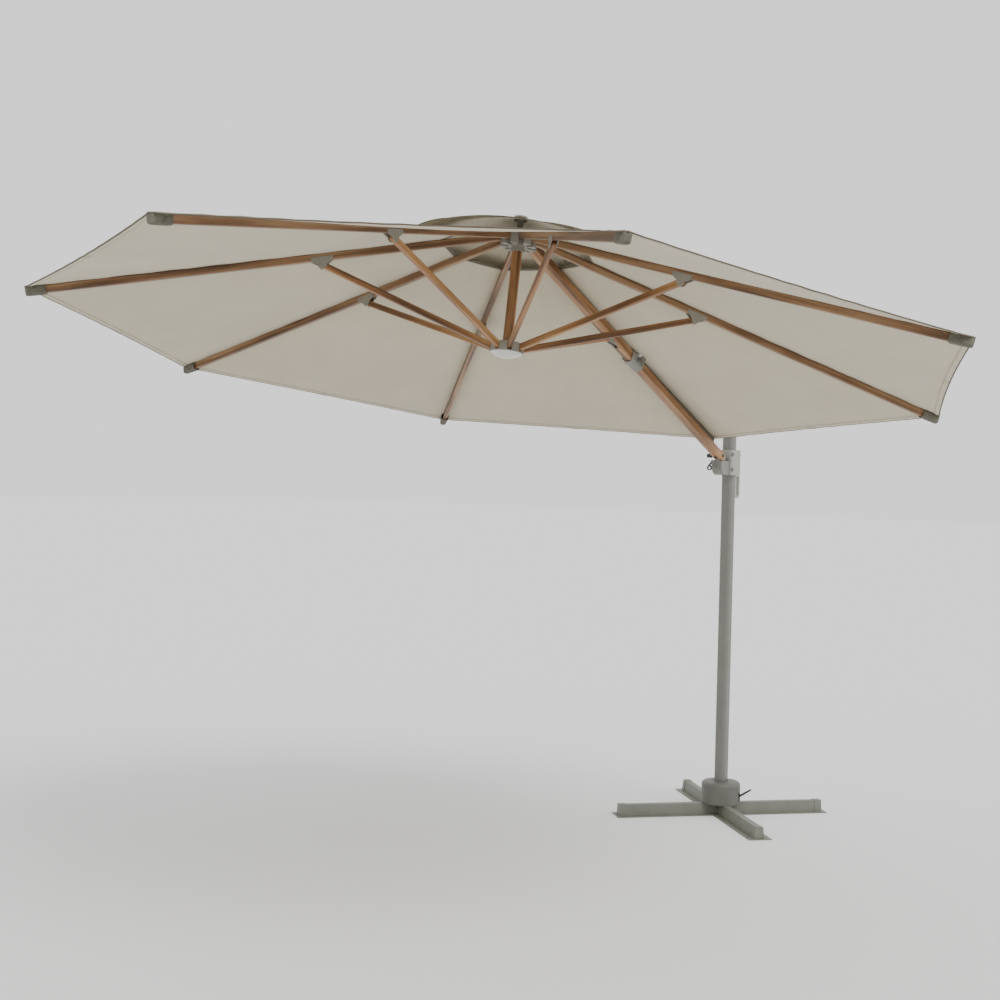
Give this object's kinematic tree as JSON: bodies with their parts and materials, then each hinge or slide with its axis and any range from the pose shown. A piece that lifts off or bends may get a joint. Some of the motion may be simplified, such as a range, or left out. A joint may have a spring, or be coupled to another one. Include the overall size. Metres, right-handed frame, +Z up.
{
  "type": "cantilever parasol",
  "caption": "Octagonal vented canopy hung beside a swivelling mast on a cross base; a sliding carriage folds the arm, ribs and struts.",
  "frame": {"origin": "mast axis at floor level, under the crossing of the base bars", "axes": "+Z up along the mast; the arm and canopy hang out over -Y; +X to the right seen from the canopy side looking back at the mast's left"},
  "size_m": [3.5, 4.038, 2.5945],
  "materials": {
    "grey_paint": "satin powder coat",
    "base_grey": "satin powder coat",
    "drum_grey": "fine texture",
    "black_plastic": "fine texture",
    "steel": "dull",
    "teak_finish": "printed wood grain, satin",
    "hub_grey": "satin",
    "carriage_grey": "satin",
    "cap_silver": "satin",
    "canvas": "plain weave"
  },
  "bodies": {
    "base": {"cross_bar_long": "base_grey", "cross_bar_short": "base_grey", "bar_end_caps": "black_plastic", "base_plate": "grey_paint", "swivel_spindle": "steel", "base_drum": "drum_grey", "pedal_pin": "steel"},
    "pedal": {"foot_pedal": "black_plastic"},
    "mast": {"mast_tube": "grey_paint", "swivel_bush": "black_plastic", "index_ring": "grey_paint", "mast_head": "carriage_grey", "head_pin": "steel"},
    "link": {"support_link": "grey_paint"},
    "carriage": {"carriage_left": "carriage_grey", "carriage_right": "carriage_grey", "carriage_liner": "black_plastic", "carriage_bolts": "steel", "arm_knuckle": "carriage_grey", "knuckle_pin": "steel", "rear_handle": "carriage_grey"},
    "lever": {"lock_lever": "black_plastic"},
    "arm": {"arm_lower_tube": "teak_finish", "arm_upper_tube": "teak_finish", "arm_sleeve": "hub_grey", "sleeve_pin": "steel", "arm_foot": "hub_grey", "arm_tip": "hub_grey", "arm_strut_bracket": "hub_grey"},
    "strut_0": {"arm_strut": "teak_finish"},
    "hub": {"top_hub": "hub_grey", "hub_socket": "hub_grey", "hub_pins": "steel", "canopy": "canvas", "vent_cap": "canvas"},
    "lower_hub": {"lower_hub": "hub_grey", "lower_hub_pins": "steel", "lower_hub_cap": "cap_silver", "centre_pole": "teak_finish"},
    "rib_1": {"rib_1": "teak_finish", "rib_fittings_1": "hub_grey"},
    "strut_1": {"strut_1": "teak_finish"},
    "rib_2": {"rib_2": "teak_finish", "rib_fittings_2": "hub_grey"},
    "strut_2": {"strut_2": "teak_finish"},
    "rib_3": {"rib_3": "teak_finish", "rib_fittings_3": "hub_grey"},
    "strut_3": {"strut_3": "teak_finish"},
    "rib_4": {"rib_4": "teak_finish", "rib_fittings_4": "hub_grey"},
    "strut_4": {"strut_4": "teak_finish"},
    "rib_5": {"rib_5": "teak_finish", "rib_fittings_5": "hub_grey"},
    "strut_5": {"strut_5": "teak_finish"},
    "rib_6": {"rib_6": "teak_finish", "rib_fittings_6": "hub_grey"},
    "strut_6": {"strut_6": "teak_finish"},
    "rib_7": {"rib_7": "teak_finish", "rib_fittings_7": "hub_grey"},
    "strut_7": {"strut_7": "teak_finish"}
  },
  "joints": [
    {"name": "swivel", "type": "hinge", "parent": "base", "child": "mast", "pos_m": [0, 0, 0.1025], "axis": [0, 0, 1], "continuous": true},
    {"name": "raise", "type": "hinge", "parent": "mast", "child": "link", "pos_m": [0, -0.11, 2.50168], "axis": [1, 0, 0], "range_deg": [0, 62], "deforming": ["canopy", "vent_cap"]},
    {"name": "arm_fold", "type": "hinge", "parent": "link", "child": "arm", "pos_m": [0, -0.93589, 2.11484], "axis": [1, 0, 0], "range_deg": [-124, 0]},
    {"name": "carriage_slide", "type": "hinge", "parent": "arm", "child": "carriage", "pos_m": [0, -0.11, 1.728], "axis": [1, 0, 0], "range_deg": [0, 62]},
    {"name": "hub_level", "type": "hinge", "parent": "arm", "child": "hub", "pos_m": [0, -1.77025, 2.50012], "axis": [1, 0, 0], "range_deg": [0, 62]},
    {"name": "strut_0_fold", "type": "hinge", "parent": "arm", "child": "strut_0", "pos_m": [0, -1.14316, 2.19359], "axis": [-1, 0, 0], "range_deg": [-124, 0]},
    {"name": "rib_1_fold", "type": "hinge", "parent": "hub", "child": "rib_1", "pos_m": [-0.03677, -1.78532, 2.50231], "axis": [-0.7071, -0.6997, 0.1021], "range_deg": [0, 62]},
    {"name": "strut_1_fold", "type": "hinge", "parent": "rib_1", "child": "strut_1", "pos_m": [-0.50684, -1.35089, 2.22389], "axis": [-0.7071, -0.6997, 0.1021], "range_deg": [-124, 0]},
    {"name": "rib_2_fold", "type": "hinge", "parent": "hub", "child": "rib_2", "pos_m": [-0.052, -1.8217, 2.50762], "axis": [0, -0.9895, 0.1444], "range_deg": [0, 62]},
    {"name": "strut_2_fold", "type": "hinge", "parent": "rib_2", "child": "strut_2", "pos_m": [-0.71677, -1.85242, 2.29706], "axis": [0, -0.9895, 0.1444], "range_deg": [-124, 0]},
    {"name": "rib_3_fold", "type": "hinge", "parent": "hub", "child": "rib_3", "pos_m": [-0.03677, -1.85809, 2.51293], "axis": [0.7071, -0.6997, 0.1021], "range_deg": [0, 62]},
    {"name": "strut_3_fold", "type": "hinge", "parent": "rib_3", "child": "strut_3", "pos_m": [-0.50684, -2.35395, 2.37022], "axis": [0.7071, -0.6997, 0.1021], "range_deg": [-124, 0]},
    {"name": "rib_4_fold", "type": "hinge", "parent": "hub", "child": "rib_4", "pos_m": [0, -1.87316, 2.51513], "axis": [1, 0, 0], "range_deg": [0, 62]},
    {"name": "strut_4_fold", "type": "hinge", "parent": "rib_4", "child": "strut_4", "pos_m": [0, -2.56169, 2.40053], "axis": [1, 0, 0], "range_deg": [-124, 0]},
    {"name": "rib_5_fold", "type": "hinge", "parent": "hub", "child": "rib_5", "pos_m": [0.03677, -1.85809, 2.51293], "axis": [0.7071, 0.6997, -0.1021], "range_deg": [0, 62]},
    {"name": "strut_5_fold", "type": "hinge", "parent": "rib_5", "child": "strut_5", "pos_m": [0.50684, -2.35395, 2.37022], "axis": [0.7071, 0.6997, -0.1021], "range_deg": [-124, 0]},
    {"name": "rib_6_fold", "type": "hinge", "parent": "hub", "child": "rib_6", "pos_m": [0.052, -1.8217, 2.50762], "axis": [0, 0.9895, -0.1444], "range_deg": [0, 62]},
    {"name": "strut_6_fold", "type": "hinge", "parent": "rib_6", "child": "strut_6", "pos_m": [0.71677, -1.85242, 2.29706], "axis": [0, 0.9895, -0.1444], "range_deg": [-124, 0]},
    {"name": "rib_7_fold", "type": "hinge", "parent": "hub", "child": "rib_7", "pos_m": [0.03677, -1.78532, 2.50231], "axis": [-0.7071, 0.6997, -0.1021], "range_deg": [0, 62]},
    {"name": "strut_7_fold", "type": "hinge", "parent": "rib_7", "child": "strut_7", "pos_m": [0.50684, -1.35089, 2.22389], "axis": [-0.7071, 0.6997, -0.1021], "range_deg": [-124, 0]},
    {"name": "lower_hub_slide", "type": "hinge", "parent": "strut_0", "child": "lower_hub", "pos_m": [0, -1.83168, 2.07898], "axis": [-1, 0, 0], "range_deg": [0, 62]},
    {"name": "lever_swing", "type": "hinge", "parent": "carriage", "child": "lever", "pos_m": [-0.035, -0.1, 1.7], "axis": [0, 1, 0], "range_deg": [0, 70]},
    {"name": "pedal_press", "type": "hinge", "parent": "base", "child": "pedal", "pos_m": [0.06792, 0.01693, 0.078], "axis": [-0.2419, 0.9703, 0], "range_deg": [-8, 12]}
  ],
  "couplings": [
    {"joint": "arm_fold", "follows": "raise", "ratio": -2},
    {"joint": "carriage_slide", "follows": "raise", "ratio": 1},
    {"joint": "hub_level", "follows": "raise", "ratio": 1},
    {"joint": "strut_0_fold", "follows": "raise", "ratio": -2},
    {"joint": "rib_1_fold", "follows": "raise", "ratio": 1},
    {"joint": "strut_1_fold", "follows": "raise", "ratio": -2},
    {"joint": "rib_2_fold", "follows": "raise", "ratio": 1},
    {"joint": "strut_2_fold", "follows": "raise", "ratio": -2},
    {"joint": "rib_3_fold", "follows": "raise", "ratio": 1},
    {"joint": "strut_3_fold", "follows": "raise", "ratio": -2},
    {"joint": "rib_4_fold", "follows": "raise", "ratio": 1},
    {"joint": "strut_4_fold", "follows": "raise", "ratio": -2},
    {"joint": "rib_5_fold", "follows": "raise", "ratio": 1},
    {"joint": "strut_5_fold", "follows": "raise", "ratio": -2},
    {"joint": "rib_6_fold", "follows": "raise", "ratio": 1},
    {"joint": "strut_6_fold", "follows": "raise", "ratio": -2},
    {"joint": "rib_7_fold", "follows": "raise", "ratio": 1},
    {"joint": "strut_7_fold", "follows": "raise", "ratio": -2},
    {"joint": "lower_hub_slide", "follows": "raise", "ratio": 1}
  ]
}
